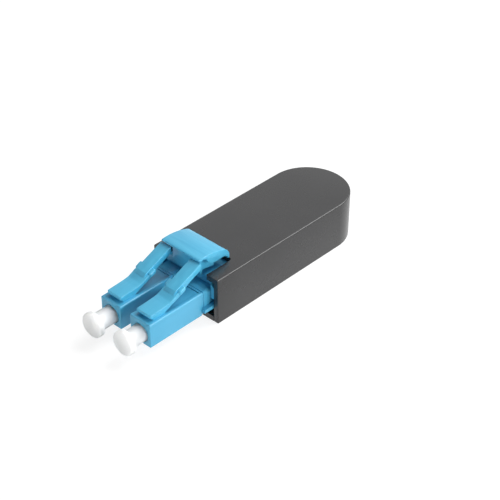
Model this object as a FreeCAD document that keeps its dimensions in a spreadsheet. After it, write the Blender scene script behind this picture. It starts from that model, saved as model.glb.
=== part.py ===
import FreeCAD, Part
import os
import re
import Sketcher

# Duplex fibre loopback module: two plug connectors side by side in a duplex clip,
# held in a round-ended housing where one fibre runs from the first plug to the second.
# Millimetres. +Y points from the plugs to the rounded end, +X to the right, +Z up.
# Every piece is drawn from the plane of the housing's mouth, where its own y is 0:
# "ahead" is towards the plugs and "depth" is into the housing. Connector pieces are
# drawn about their own ferrule axis. The origin is the middle of the underside.

SIZES = {
    # Housing
    "shell_width": 13.6,
    "shell_height": 7.95,
    "straight_length": 27.8,
    "side_wall": 0.9,
    "roof": 0.9,
    "top_bevel": 0.18,
    "notch_width": 8.8,
    "notch_depth": 5.5,
    "notch_corner": 0.5,
    # Base plate
    "floor": 0.9,
    "floor_play": 0.05,
    "bead_proud": 0.2,
    "bead_height": 0.35,
    "bead_length": 3.0,
    "bead_first": 9.0,
    "bead_spacing": 12.0,
    "guide_wall": 0.8,
    "guide_height": 4.2,
    "guide_gap": 0.1,
    "saddle_height": 0.4,
    "saddle_length": 2.0,
    "saddle_inset": 1.0,
    # Connector pair
    "pitch": 6.25,
    "axis_height": 3.49,
    "nose_lift": 0.26,
    "nose_width": 4.2,
    "nose_height": 4.1,
    "nose_reach": 12.3,
    "nose_rear": 1.9,
    "nose_bevel": 0.12,
    "seam": 0.1,
    # Bores inside the front housing
    "mouth_bore": 3.0,
    "mouth_bore_depth": 2.6,
    "web_thickness": 1.0,
    "throat_bore": 1.6,
    "spring_bore": 3.0,
    # Latch
    "arm_width": 2.9,
    "block_setback": 0.8,
    "block_rise": 0.95,
    "undercut_height": 0.4,
    "undercut_depth": 0.4,
    "hinge_ahead": 8.35,
    "hinge_rise": 0.64,
    "root_radius": 0.5,
    "root_gap": 0.04,
    "arm_bow_ahead": 7.4,
    "arm_bow_rise": 1.32,
    "step_ahead": 6.6,
    "step_rise": 1.65,
    "step_height": 0.63,
    "step_lean": 0.55,
    "tab_width": 2.15,
    "tab_thickness": 1.15,
    "tip_ahead": 0.75,
    "tip_gap": 0.14,
    "tip_bevel": 0.1,
    "tab_foot": 1.3,
    "ear_width": 3.3,
    "ear_length": 1.25,
    "ear_thickness": 0.8,
    "ear_setback": 0.3,
    "ear_drop": 0.22,
    "channel_width": 3.1,
    "channel_depth": 0.2,
    # Rear body
    "body_width": 3.9,
    "body_bevel": 0.45,
    "body_gap": 0.1,
    "body_length": 8.3,
    "rim_length": 0.3,
    "groove_depth": 0.1,
    "groove_length": 0.15,
    "collar_width": 4.0,
    "collar_bevel": 0.2,
    "collar_length": 0.7,
    "spigot_width": 2.9,
    "spigot_length": 1.6,
    "pocket_depth": 2.0,
    # Ferrule and its parts
    "ferrule_width": 1.25,
    "ferrule_reach": 2.0,
    "ferrule_length": 7.4,
    "flange_width": 2.85,
    "flange_length": 0.9,
    "tail_width": 1.7,
    "tail_length": 2.8,
    "fibre_bore": 1.1,
    "wire": 0.3,
    "coil_width": 2.3,
    "coil_turns": 3.5,
    "coil_end_gap": 0.02,
    # Stop ring and boot
    "ring_width": 2.4,
    "ring_length": 3.5,
    "ring_flange": 3.0,
    "ring_flange_length": 0.6,
    "seat_gap": 0.02,
    "boot_width": 3.8,
    "boot_end_width": 2.8,
    "boot_length": 5.4,
    "boot_grip": 1.8,
    # Dust cap
    "cap_reach": 3.65,
    "cap_head": 4.05,
    "cap_head_length": 1.1,
    "cap_bevel": 0.3,
    "cap_neck": 2.85,
    "cap_insert": 2.0,
    "cap_bore": 1.35,
    "cap_out_left": 0.35,
    "cap_out_right": 0.0,
    "cap_end_gap": 0.4,
    # Fibre
    "fibre_width": 0.9,
    "fibre_gap": 0.25,
    "sway_angle": 30.0,
    "fibre_rest": 0.4,
    # Duplex clip
    "clip_depth": 0.15,
    "clip_length": 7.95,
    "clip_play": 0.05,
    "clip_bevel": 1.1,
    "window_play": 0.06,
    "mouth_slot": 2.6,
    "recess_depth": 1.6,
    "recess_height": 4.0,
    "face_setback": 0.65,
    "rail_height": 2.45,
    "rail_thickness": 0.6,
    # Trigger
    "trigger_width": 8.0,
    "lip_ahead": 0.97,
    "lip_rise": 2.85,
    "lip_thickness": 0.36,
    "crown_ahead": 1.6,
    "crown_rise": 2.82,
    "brow_back": 1.2,
    "brow_rise": 2.15,
    "shoulder_back": 0.3,
    "shoulder_rise": 1.48,
    "tail_depth": 5.4,
    "tail_rise": 0.2,
    "heel_back": 0.3,
    "heel_rise": 0.1,
    "hollow_back": 0.6,
    "hollow_rise": 0.65,
    "belly_rise": 0.9,
    "belly_back": 1.05,
    "belly_front": 2.3,
    "scoop_depth": 0.8,
    "scoop_rise": 1.62,
    "scoop_bow": 0.1,
    "brim_depth": 0.35,
    "brim_rise": 2.37,
    "brim_ahead": 0.36,
    "neck_width": 6.6,
    "neck_depth": 0.2,
    "neck_clear": 0.06,
    "apron_thickness": 0.45,
    "apron_drop": 0.4,
    "pivot_depth": 4.7,
    "pivot_drop": 0.6,
    "pivot_radius": 0.5,
    "pivot_gap": 0.05,
    "root_flare": 0.4,
    "tongue_width": 2.0,
    "tongue_thickness": 0.7,
    "tongue_rear": 3.1,
    "press_angle": 10.0,
}

# Formulas shared by several pieces
HALF = "shell_width / 2"
INNER = "(shell_width / 2 - side_wall)"
CEILING = "(shell_height - roof)"
CAP_FRONT = "(nose_reach + cap_reach + max(cap_out_left; cap_out_right))"
MOUTH = f"(({CAP_FRONT} - straight_length - shell_width / 2) / 2)"
LOOP = f"({INNER} - fibre_gap - fibre_width / 2)"
NOSE_TOP = "(nose_height / 2 + nose_lift)"
WEB_FRONT = "(-nose_reach + mouth_bore_depth)"
FLANGE_FRONT = "(-nose_reach + mouth_bore_depth + web_thickness)"
BODY_FRONT = "(-nose_rear + body_gap)"
BODY_REAR = "(-nose_rear + body_gap + body_length)"
SPIGOT_FRONT = "(-nose_rear + body_gap - spigot_length)"
FERRULE_TIP = "(-nose_reach - ferrule_reach)"
CLIP_TOP = "(shell_height - roof - clip_play)"
CLIP_REAR = "(clip_depth + clip_length)"
CLIP_HALF = "(shell_width / 2 - side_wall - clip_play)"
PIVOT_HEIGHT = "(shell_height - roof - clip_play - pivot_drop)"
LIP_UNDER = "(shell_height + lip_rise - lip_thickness)"

doc = FreeCAD.newDocument("FibreLoopback")
sheet = doc.addObject("Spreadsheet::Sheet", "Sizes")
for row, (alias, value) in enumerate(SIZES.items(), 1):
    sheet.set(f"A{row}", alias)
    sheet.set(f"B{row}", str(value))
    sheet.setAlias(f"B{row}", alias)
doc.recompute()

NEAR = 1e-4
LEAST_CUT = 1e-6
STRAIGHT = 0.999

pieces = []


def bound(formula):
    """The formula with the sheet's name before each size, as an expression needs it."""
    return re.sub(r"[a-z][a-z_]*", lambda word: f"Sizes.{word[0]}" if word[0] in SIZES else word[0], formula)


def worth(formula):
    """The formula's value with the sizes as they stand in the sheet."""
    return float(sheet.evalExpression(re.sub("Sizes[.]", "", bound(formula))))


def new_piece(label):
    piece = doc.addObject("PartDesign::Body", label)
    piece.Label = label
    pieces.append(piece)
    return piece


def place(piece, x="0", y=MOUTH, z="0"):
    for axis, formula in (("x", x), ("y", y), ("z", z)):
        piece.setExpression(f"Placement.Base.{axis}", bound(formula))


def new_sketch(piece, name, role, lift="0"):
    """An empty sketch on one of the piece's own planes, lifted along the plane's normal."""
    sketch = piece.newObject("Sketcher::SketchObject", f"{piece.Name}_{name}")
    planes = [item for item in piece.Origin.OriginFeatures if item.Role == role]
    sketch.AttachmentSupport = [(planes[0], "")]
    sketch.MapMode = "FlatFace"
    sketch.setExpression("AttachmentOffset.Base.z", bound(lift))
    return sketch


def tie(sketch, geometry, end, across, along):
    """Ties one end of a sketch line to the sketch's origin by two distances."""
    for kind, formula in (("DistanceX", across), ("DistanceY", along)):
        rule = Sketcher.Constraint(kind, -1, 1, geometry, end, worth(formula))
        index = sketch.addConstraint(rule)
        sketch.setExpression(f"Constraints[{index}]", bound(formula))


def draw(piece, name, role, points, lift="0", closed=True):
    """A closed outline, or an open path. A corner is (across, along); a point with a
    third item is the middle of the arc that runs from the corner before to the next."""
    sketch = new_sketch(piece, name, role, lift)
    corners = [index for index, point in enumerate(points) if len(point) == 2]
    spans = list(zip(corners, corners[1:] + corners[:1] if closed else corners[1:]))
    lines = []
    for first, last in spans:
        start, end = (FreeCAD.Vector(worth(points[k][0]), worth(points[k][1]), 0) for k in (first, last))
        middle = points[(first + 1) % len(points)]
        if len(middle) == 2:
            lines.append((sketch.addGeometry(Part.LineSegment(start, end), False), 1, 2))
            continue
        # A sketch keeps every arc anticlockwise, so a clockwise one is drawn backwards.
        bow = FreeCAD.Vector(worth(middle[0]), worth(middle[1]), 0)
        backwards = (bow - start).cross(end - bow).z < 0
        arc = sketch.addGeometry(Part.Arc(end, bow, start) if backwards else Part.Arc(start, bow, end), False)
        lines.append((arc, 2, 1) if backwards else (arc, 1, 2))
        mark = sketch.addGeometry(Part.Point(bow), True)
        tie(sketch, mark, 1, middle[0], middle[1])
        sketch.addConstraint(Sketcher.Constraint("PointOnObject", mark, 1, arc))
    for number, (first, last) in enumerate(spans):
        line, near_end, far_end = lines[number]
        tie(sketch, line, near_end, points[first][0], points[first][1])
        if closed or number + 1 < len(spans):
            after, after_end, _ = lines[(number + 1) % len(spans)]
            sketch.addConstraint(Sketcher.Constraint("Coincident", line, far_end, after, after_end))
        else:
            tie(sketch, line, far_end, points[last][0], points[last][1])
    return sketch


def disc(piece, name, role, width, lift="0", across="0", along="0"):
    """A circle of the given diameter."""
    sketch = new_sketch(piece, name, role, lift)
    centre = FreeCAD.Vector(worth(across), worth(along), 0)
    circle = sketch.addGeometry(Part.Circle(centre, FreeCAD.Vector(0, 0, 1), worth(width) / 2), False)
    index = sketch.addConstraint(Sketcher.Constraint("Diameter", circle, worth(width)))
    sketch.setExpression(f"Constraints[{index}]", bound(width))
    tie(sketch, circle, 3, across, along)
    return sketch


def block(left, low, right, high):
    """The corners of a rectangle."""
    return [(left, low), (right, low), (right, high), (left, high)]


def extrude(piece, kind, sketch, length, both=False, back=False):
    feature = piece.newObject(f"PartDesign::{kind}", f"{sketch.Name}_{kind}")
    feature.Profile = sketch
    feature.setExpression("Length", bound(length))
    feature.SideType = "Symmetric" if both else "One side"
    feature.Reversed = back
    settle(feature)
    return feature


def pad(piece, sketch, length, both=False, back=False):
    return extrude(piece, "Pad", sketch, length, both, back)


def cut(piece, sketch, length, both=False, back=False):
    before = piece.Shape.Volume
    feature = extrude(piece, "Pocket", sketch, length, both, back)
    if feature.Shape.Volume > before - LEAST_CUT:
        raise RuntimeError(f"{feature.Name} cuts nothing")
    return feature


def turn(piece, name, points, hollow=False):
    """A solid of revolution about the ferrule axis, or a hollow turned out of it. The
    outline is (radius, y)."""
    before = piece.Shape.Volume if hollow else 0
    sketch = draw(piece, name, "XY_Plane", points)
    kind = "Groove" if hollow else "Revolution"
    feature = piece.newObject(f"PartDesign::{kind}", f"{sketch.Name}_{kind}")
    feature.Profile = sketch
    feature.ReferenceAxis = (sketch, ["V_Axis"])
    feature.Angle = 360
    settle(feature)
    if hollow and feature.Shape.Volume > before - LEAST_CUT:
        raise RuntimeError(f"{feature.Name} cuts nothing")
    return feature


def dress(piece, kind, name, size, pick):
    """Rounds or bevels the edges of the piece that pick accepts."""
    base = piece.Tip
    chosen = [f"Edge{number}" for number, edge in enumerate(base.Shape.Edges, 1) if pick(edge)]
    feature = piece.newObject(f"PartDesign::{kind}", f"{piece.Name}_{name}")
    feature.Base = (base, chosen)
    feature.setExpression("Radius" if kind == "Fillet" else "Size", bound(size))
    settle(feature)
    return feature


def settle(feature):
    doc.recompute()
    if "Invalid" in feature.State or "Error" in feature.State or feature.Shape.isNull():
        raise RuntimeError(f"{feature.Name} failed: {feature.State}")


def near(value, formula):
    return abs(value - worth(formula)) < NEAR


def runs_along(edge, axis):
    """True for a straight edge parallel to the axis, which is 0, 1 or 2 for x, y or z."""
    if edge.Curve.TypeId != "Part::GeomLine":
        return False
    step = edge.Vertexes[-1].Point - edge.Vertexes[0].Point
    return abs(step[axis]) > STRAIGHT * step.Length


def round_end(front, half_width, rear_radius):
    """A flat outline, straight at the front and half round behind the straight length."""
    return [
        (f"-({half_width})", front),
        (f"{half_width}", front),
        (f"{half_width}", "straight_length"),
        ("0", f"straight_length + {rear_radius}", "bow"),
        (f"-({half_width})", "straight_length"),
    ]


# Housing shell: one moulding with side walls, a roof and a rounded rear end, open at
# the mouth and underneath, with a notch in the roof's front edge for the trigger.
shell = new_piece("housing_shell")
pad(shell, draw(shell, "outline", "XY_Plane", round_end("0", HALF, HALF)), "shell_height")
dress(shell, "Chamfer", "top_edge", "top_bevel", lambda edge: all(
    near(end.Point.z, "shell_height") for end in edge.Vertexes) and not (
    runs_along(edge, 0) and near(edge.CenterOfMass.y, "0")))
cavity = draw(shell, "cavity", "XY_Plane", round_end("-side_wall", INNER, INNER))
cut(shell, cavity, CEILING, back=True)
notch = draw(shell, "notch", "XY_Plane", block(
    "-notch_width / 2", "-side_wall", "notch_width / 2", "notch_depth"), lift="shell_height")
cut(shell, notch, "roof * 2")
dress(shell, "Fillet", "notch_corners", "notch_corner", lambda edge: runs_along(edge, 2)
      and near(edge.CenterOfMass.y, "notch_depth") and near(abs(edge.CenterOfMass.x), "notch_width / 2"))
BEAD_LOW = "(floor - bead_height)"
for number, start in enumerate(("bead_first", "bead_first + bead_spacing")):
    groove = draw(shell, f"snap_groove_{number}", "XY_Plane", block(
        f"-({INNER} + bead_proud)", f"{start} - floor_play", f"{INNER} + bead_proud",
        f"{start} + bead_length + floor_play"), lift=f"{BEAD_LOW} - floor_play")
    cut(shell, groove, "bead_height + 2 * floor_play", back=True)
place(shell)

# Base plate: closes the underside, snaps in by four beads, carries the clip on two
# saddles, and holds the fibre out to its bend with a half-round guide.
PLATE = f"({INNER} - floor_play)"
base = new_piece("base_plate")
pad(base, draw(base, "outline", "XY_Plane", round_end("0", PLATE, PLATE)), "floor")
for number, start in enumerate(("bead_first", "bead_first + bead_spacing")):
    bead = draw(base, f"bead_{number}", "XZ_Plane", [
        (f"-({PLATE})", BEAD_LOW),
        (f"{PLATE}", BEAD_LOW),
        (f"{PLATE} + bead_proud", f"{BEAD_LOW} + bead_height / 2"),
        (f"{PLATE}", "floor"),
        (f"-({PLATE})", "floor"),
        (f"-({PLATE} + bead_proud)", f"{BEAD_LOW} + bead_height / 2"),
    ], lift=f"-({start})")
    pad(base, bead, "bead_length", back=True)
SADDLE_TOP = "floor + saddle_height"
for number, start in enumerate(("clip_depth + saddle_inset", f"{CLIP_REAR} - saddle_inset - saddle_length")):
    saddle = draw(base, f"saddle_{number}", "XY_Plane", block(
        f"-({PLATE} - saddle_inset / 2)", start, f"{PLATE} - saddle_inset / 2", f"{start} + saddle_length"))
    pad(base, saddle, SADDLE_TOP)
GUIDE = f"({LOOP} - fibre_width / 2 - guide_gap)"
guide = draw(base, "guide", "XY_Plane", [
    (GUIDE, f"straight_length - {LOOP}"),
    (GUIDE, "straight_length"),
    ("0", f"straight_length + {GUIDE}", "bow"),
    (f"-{GUIDE}", "straight_length"),
    (f"-{GUIDE}", f"straight_length - {LOOP}"),
    (f"-({GUIDE} - guide_wall)", f"straight_length - {LOOP}"),
    (f"-({GUIDE} - guide_wall)", "straight_length"),
    ("0", f"straight_length + {GUIDE} - guide_wall", "bow"),
    (f"{GUIDE} - guide_wall", "straight_length"),
    (f"{GUIDE} - guide_wall", f"straight_length - {LOOP}"),
])
pad(base, guide, "floor + guide_height")
place(base)

# Duplex clip: one moulding that the two rear bodies snap up into, with a window round
# each, bevelled shoulders and a socket on top for the trigger's root. Its front is set
# back between the side walls and cut away below, where two thin rails reach forward
# beside the bodies.
WINDOW = "(body_width / 2 + window_play)"
clip = new_piece("duplex_clip")
section = draw(clip, "section", "XZ_Plane", [
    (f"-{CLIP_HALF}", SADDLE_TOP),
    (CLIP_HALF, SADDLE_TOP),
    (CLIP_HALF, f"{CLIP_TOP} - clip_bevel"),
    (f"{CLIP_HALF} - clip_bevel", CLIP_TOP),
    (f"-({CLIP_HALF} - clip_bevel)", CLIP_TOP),
    (f"-{CLIP_HALF}", f"{CLIP_TOP} - clip_bevel"),
], lift="-clip_depth")
pad(clip, section, "clip_length", back=True)
for side, centre in (("left", "-pitch / 2"), ("right", "pitch / 2")):
    window = draw(clip, f"{side}_window", "XZ_Plane", block(
        f"{centre} - {WINDOW}", f"axis_height + nose_lift - {WINDOW}",
        f"{centre} + {WINDOW}", f"axis_height + nose_lift + {WINDOW}"), lift="-clip_depth")
    cut(clip, window, "clip_length")
    slot = draw(clip, f"{side}_slot", "XZ_Plane", block(
        f"{centre} - mouth_slot / 2", "0", f"{centre} + mouth_slot / 2", "axis_height"), lift="-clip_depth")
    cut(clip, slot, "clip_length")
recess = draw(clip, "recess", "YZ_Plane", block(
    "0", SADDLE_TOP, "clip_depth + recess_depth", "recess_height"))
cut(clip, recess, "shell_width", both=True)
face = draw(clip, "face", "XZ_Plane", block(
    f"-(pitch / 2 + {WINDOW})", SADDLE_TOP, f"pitch / 2 + {WINDOW}", "shell_height"), lift="-clip_depth")
cut(clip, face, "face_setback")
for side, sign in (("left", "-"), ("right", "")):
    near_edge, far_edge = f"{sign}(pitch / 2 + {WINDOW})", f"{sign}({CLIP_HALF})"
    left, right = (far_edge, near_edge) if sign else (near_edge, far_edge)
    rail = draw(clip, f"{side}_rail", "XZ_Plane", block(
        left, "rail_height", right, "rail_height + rail_thickness"), lift=f"-({BODY_FRONT})")
    pad(clip, rail, f"clip_depth + recess_depth + clip_play - ({BODY_FRONT})", back=True)
SOCKET = "(pivot_radius + pivot_gap)"
socket = draw(clip, "socket", "YZ_Plane", [
    (f"pivot_depth - {SOCKET}", PIVOT_HEIGHT),
    ("pivot_depth", f"{PIVOT_HEIGHT} - {SOCKET}", "bow"),
    (f"pivot_depth + {SOCKET}", PIVOT_HEIGHT),
    (f"pivot_depth + {SOCKET}", "shell_height"),
    (f"pivot_depth - tongue_thickness - 2 * {SOCKET}", "shell_height"),
    (f"pivot_depth - tongue_thickness - 2 * {SOCKET}", CLIP_TOP),
])
cut(clip, socket, "tongue_width + 2 * pivot_gap", both=True)
place(clip)

# Trigger: one press plate over both latch tips, on a neck through the roof's notch and
# a tongue whose round root sits in the clip's socket. The lip overhangs the latches.
trigger = new_piece("trigger")
plate = draw(trigger, "plate", "YZ_Plane", [
    ("-lip_ahead", "shell_height + lip_rise"),
    ("crown_ahead", "shell_height + crown_rise", "bow"),
    ("tail_depth - brow_back", "shell_height + brow_rise"),
    ("tail_depth - shoulder_back", "shell_height + shoulder_rise", "bow"),
    ("tail_depth", "shell_height + tail_rise"),
    ("tail_depth - heel_back", "shell_height + heel_rise"),
    ("tail_depth - hollow_back", "shell_height + hollow_rise", "bow"),
    ("tail_depth - belly_back", "shell_height + belly_rise"),
    ("belly_front", "shell_height + belly_rise"),
    ("(belly_front + scoop_depth) / 2 - scoop_bow",
     "shell_height + (belly_rise + scoop_rise) / 2 - scoop_bow", "bow"),
    ("scoop_depth", "shell_height + scoop_rise"),
    ("brim_depth", "shell_height + brim_rise", "bow"),
    ("-brim_ahead", LIP_UNDER),
    ("-lip_ahead", LIP_UNDER),
])
pad(trigger, plate, "trigger_width", both=True)
# Swinging down by the press angle, a point at distance d from the pivot drops by
# about d times the sine, so the neck and tongue stay that far above the clip. An apron
# at the neck's front hangs down before the clip's face.
CLEAR = f"{CLIP_TOP} + neck_clear + sin(press_angle) *"
neck = draw(trigger, "neck", "YZ_Plane", [
    ("neck_depth", f"{LIP_UNDER} - lip_thickness * 2"),
    ("neck_depth", f"{CLIP_TOP} - apron_drop"),
    ("neck_depth + apron_thickness", f"{CLIP_TOP} - apron_drop"),
    ("neck_depth + apron_thickness", f"{CLEAR} (pivot_depth - neck_depth - apron_thickness)"),
    ("tongue_rear", f"{CLEAR} (pivot_depth - tongue_rear)"),
    ("tongue_rear", "shell_height + belly_rise + lip_thickness"),
    ("scoop_depth", "shell_height + scoop_rise + lip_thickness"),
])
pad(trigger, neck, "neck_width", both=True)
tongue = draw(trigger, "tongue", "YZ_Plane", [
    ("tongue_rear - tongue_thickness", f"{CLEAR} (pivot_depth - tongue_rear + tongue_thickness)"),
    ("tongue_rear", f"{CLEAR} (pivot_depth - tongue_rear) + neck_clear"),
    ("pivot_depth - tongue_thickness", f"{CLEAR} tongue_thickness + neck_clear"),
    ("pivot_depth - root_flare", f"{PIVOT_HEIGHT} + pivot_radius - root_flare / 2"),
    ("pivot_depth", f"{PIVOT_HEIGHT} - pivot_radius", "bow"),
    ("pivot_depth + root_flare", f"{PIVOT_HEIGHT} + pivot_radius - root_flare / 2"),
    ("pivot_depth", f"{CLEAR} tongue_thickness + tongue_thickness"),
    ("tongue_rear", f"{CLEAR} (pivot_depth - tongue_rear) + tongue_thickness"),
])
pad(trigger, tongue, "tongue_width", both=True)
place(trigger)


def connector(side, centre):
    """All the pieces of one plug connector, drawn about its ferrule axis."""

    def seat(piece):
        place(piece, x=centre, z="axis_height")

    # Front housing: a square nose, its middle a little above the ferrule axis, with the
    # latch's root block on top and a stepped bore. The nose's mouth holds the dust cap's
    # neck, its web stops the flange.
    housing = new_piece(f"front_housing_{side}")
    nose = draw(housing, "nose", "XZ_Plane", block(
        "-nose_width / 2", "nose_lift - nose_height / 2", "nose_width / 2", NOSE_TOP), lift="nose_reach")
    pad(housing, nose, "nose_reach - nose_rear", back=True)
    dress(housing, "Chamfer", "long_edges", "nose_bevel", lambda edge: runs_along(edge, 1))
    channel = draw(housing, "channel", "XZ_Plane", block(
        "-channel_width / 2", f"{NOSE_TOP} - channel_depth",
        "channel_width / 2", f"{NOSE_TOP} + channel_depth"), lift="hinge_ahead")
    cut(housing, channel, "hinge_ahead")
    root_block = draw(housing, "latch_block", "YZ_Plane", [
        ("-nose_reach + block_setback + undercut_depth", f"{NOSE_TOP} - channel_depth"),
        ("-nose_reach + block_setback + undercut_depth", f"{NOSE_TOP} + undercut_height"),
        ("-nose_reach + block_setback", f"{NOSE_TOP} + undercut_height"),
        ("-nose_reach + block_setback", f"{NOSE_TOP} + block_rise"),
        ("-hinge_ahead", f"{NOSE_TOP} + hinge_rise + root_radius"),
        ("-hinge_ahead", f"{NOSE_TOP} - channel_depth"),
    ])
    pad(housing, root_block, "arm_width", both=True)
    hollow = disc(housing, "root_hollow", "YZ_Plane", "(root_radius + root_gap) * 2",
                  across="-hinge_ahead", along=f"{NOSE_TOP} + hinge_rise")
    cut(housing, hollow, "arm_width * 2", both=True)
    turn(housing, "bore", [
        ("0", "-nose_reach - seam"),
        ("mouth_bore / 2", "-nose_reach - seam"),
        ("mouth_bore / 2", WEB_FRONT),
        ("throat_bore / 2", WEB_FRONT),
        ("throat_bore / 2", FLANGE_FRONT),
        ("spring_bore / 2", FLANGE_FRONT),
        ("spring_bore / 2", "-nose_rear + seam"),
        ("0", "-nose_rear + seam"),
    ], hollow=True)
    seat(housing)

    # Latch arm: springs from the root block, steps up between two ears that catch in
    # the socket, and ends in a narrow bevelled tab just under the trigger's lip.
    arm = new_piece(f"latch_arm_{side}")
    HINGE = f"({NOSE_TOP} + hinge_rise)"
    STEP = f"({NOSE_TOP} + step_rise)"
    TIP = f"({LIP_UNDER} - tip_gap - axis_height)"
    lower = draw(arm, "lower", "YZ_Plane", [
        ("-hinge_ahead", f"{HINGE} + root_radius"),
        ("-hinge_ahead - root_radius", HINGE, "bow"),
        ("-hinge_ahead", f"{HINGE} - root_radius"),
        ("-step_ahead + tab_foot", f"{STEP} - ear_drop"),
        ("-step_ahead + tab_foot", f"{STEP} + step_height / 2"),
        ("-step_ahead + tab_foot / 2", f"{STEP} + step_height / 2"),
        ("-step_ahead", STEP),
        ("-arm_bow_ahead", f"{NOSE_TOP} + arm_bow_rise", "bow"),
    ])
    pad(arm, lower, "arm_width", both=True)
    SLOPE = f"(({TIP} - {STEP} - step_height) / (step_ahead - step_lean - tip_ahead))"
    upper = draw(arm, "upper", "YZ_Plane", [
        ("-step_ahead", STEP),
        ("-step_ahead + tab_foot + step_lean", f"{STEP} - ear_drop"),
        ("-step_ahead + 2 * tab_foot + step_lean",
         f"{STEP} + step_height - tab_thickness + 2 * tab_foot * {SLOPE}"),
        ("-tip_ahead - tip_bevel / 2", f"{TIP} - tab_thickness"),
        ("-tip_ahead", f"{TIP} - tip_bevel"),
        ("-tip_ahead - tip_bevel", TIP),
        ("-step_ahead + step_lean", f"{STEP} + step_height"),
    ])
    pad(arm, upper, "tab_width", both=True)
    EAR_TOP = f"({STEP} + step_height - ear_drop + ear_setback * {SLOPE})"
    ears = draw(arm, "ears", "YZ_Plane", [
        ("-step_ahead + step_lean + ear_setback", f"{EAR_TOP} - ear_thickness"),
        ("-step_ahead + step_lean + ear_setback + ear_length",
         f"{EAR_TOP} - ear_thickness + ear_length * {SLOPE}"),
        ("-step_ahead + step_lean + ear_setback + ear_length", f"{EAR_TOP} + ear_length * {SLOPE}"),
        ("-step_ahead + step_lean + ear_setback", EAR_TOP),
    ])
    pad(arm, ears, "ear_width", both=True)
    seat(arm)

    # Rear body: closes the housing behind the spring with a round spigot. Its collar,
    # with a fine groove round it, is as wide as the housing in front of it, and its
    # bevelled square part snaps into the duplex clip.
    body = new_piece(f"rear_body_{side}")
    COLLAR_FRONT = f"({BODY_FRONT} + rim_length + groove_length)"
    for name, start, length, half, bevel in (
            ("rim", BODY_FRONT, "rim_length", "collar_width / 2", "collar_bevel"),
            ("groove", f"{BODY_FRONT} + rim_length", "groove_length",
             "(collar_width / 2 - groove_depth)", "collar_bevel"),
            ("collar", COLLAR_FRONT, "collar_length", "collar_width / 2", "collar_bevel"),
            ("square", f"{COLLAR_FRONT} + collar_length",
             "body_length - rim_length - groove_length - collar_length", "body_width / 2", "body_bevel")):
        outline = draw(body, name, "XZ_Plane", [
            (f"-({half} - {bevel})", f"nose_lift - {half}"),
            (f"{half} - {bevel}", f"nose_lift - {half}"),
            (half, f"nose_lift - {half} + {bevel}"),
            (half, f"nose_lift + {half} - {bevel}"),
            (f"{half} - {bevel}", f"nose_lift + {half}"),
            (f"-({half} - {bevel})", f"nose_lift + {half}"),
            (f"-({half})", f"nose_lift + {half} - {bevel}"),
            (f"-({half})", f"nose_lift - {half} + {bevel}"),
        ], lift=f"-({start})")
        pad(body, outline, length, back=True)
    turn(body, "spigot", [
        ("0", SPIGOT_FRONT),
        ("spigot_width / 2", SPIGOT_FRONT),
        ("spigot_width / 2", f"{BODY_FRONT} + seam"),
        ("0", f"{BODY_FRONT} + seam"),
    ])
    turn(body, "bore", [
        ("0", f"{SPIGOT_FRONT} - seam"),
        ("fibre_bore / 2", f"{SPIGOT_FRONT} - seam"),
        ("fibre_bore / 2", f"{BODY_REAR} - pocket_depth"),
        ("ring_width / 2 + seat_gap", f"{BODY_REAR} - pocket_depth"),
        ("ring_width / 2 + seat_gap", f"{BODY_REAR} + seam"),
        ("0", f"{BODY_REAR} + seam"),
    ], hollow=True)
    seat(body)

    # Ferrule: a ground ceramic rod with a small bevel at its tip.
    ferrule = new_piece(f"ferrule_{side}")
    turn(ferrule, "rod", [
        ("0", FERRULE_TIP),
        ("ferrule_width / 2 - seam", FERRULE_TIP),
        ("ferrule_width / 2", f"{FERRULE_TIP} + seam"),
        ("ferrule_width / 2", f"{FERRULE_TIP} + ferrule_length"),
        ("0", f"{FERRULE_TIP} + ferrule_length"),
    ])
    seat(ferrule)

    # Ferrule flange: the metal sleeve pressed on the ferrule's end. Its collar rests
    # on the housing's web and its tail guides the spring.
    flange = new_piece(f"ferrule_flange_{side}")
    TAIL_END = f"({FLANGE_FRONT} + flange_length + tail_length)"
    turn(flange, "sleeve", [
        ("ferrule_width / 2", f"{FLANGE_FRONT} + seat_gap"),
        ("flange_width / 2", f"{FLANGE_FRONT} + seat_gap"),
        ("flange_width / 2", f"{FLANGE_FRONT} + flange_length"),
        ("tail_width / 2", f"{FLANGE_FRONT} + flange_length"),
        ("tail_width / 2", TAIL_END),
        ("fibre_bore / 2", TAIL_END),
        ("fibre_bore / 2", f"{FERRULE_TIP} + ferrule_length"),
        ("ferrule_width / 2", f"{FERRULE_TIP} + ferrule_length"),
    ])
    seat(flange)

    # Spring: pushes the flange forward, with its rear coil on the rear body's spigot.
    spring = new_piece(f"spring_{side}")
    SPRING_FRONT = f"({FLANGE_FRONT} + flange_length + wire / 2 + coil_end_gap)"
    SPRING_REAR = f"({SPIGOT_FRONT} - wire / 2 - coil_end_gap)"
    section = draw(spring, "wire", "XY_Plane", [
        ("coil_width / 2 + wire / 2", SPRING_FRONT),
        ("coil_width / 2", f"{SPRING_FRONT} + wire / 2"),
        ("coil_width / 2 - wire / 2", SPRING_FRONT),
        ("coil_width / 2", f"{SPRING_FRONT} - wire / 2"),
    ])
    helix = spring.newObject("PartDesign::AdditiveHelix", f"{spring.Name}_helix")
    helix.Profile = section
    helix.ReferenceAxis = (section, ["V_Axis"])
    helix.Mode = "height-turns-growth"
    helix.Growth = 0
    helix.setExpression("Height", bound(f"{SPRING_REAR} - {SPRING_FRONT}"))
    helix.setExpression("Turns", bound("coil_turns"))
    settle(helix)
    seat(spring)

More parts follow.
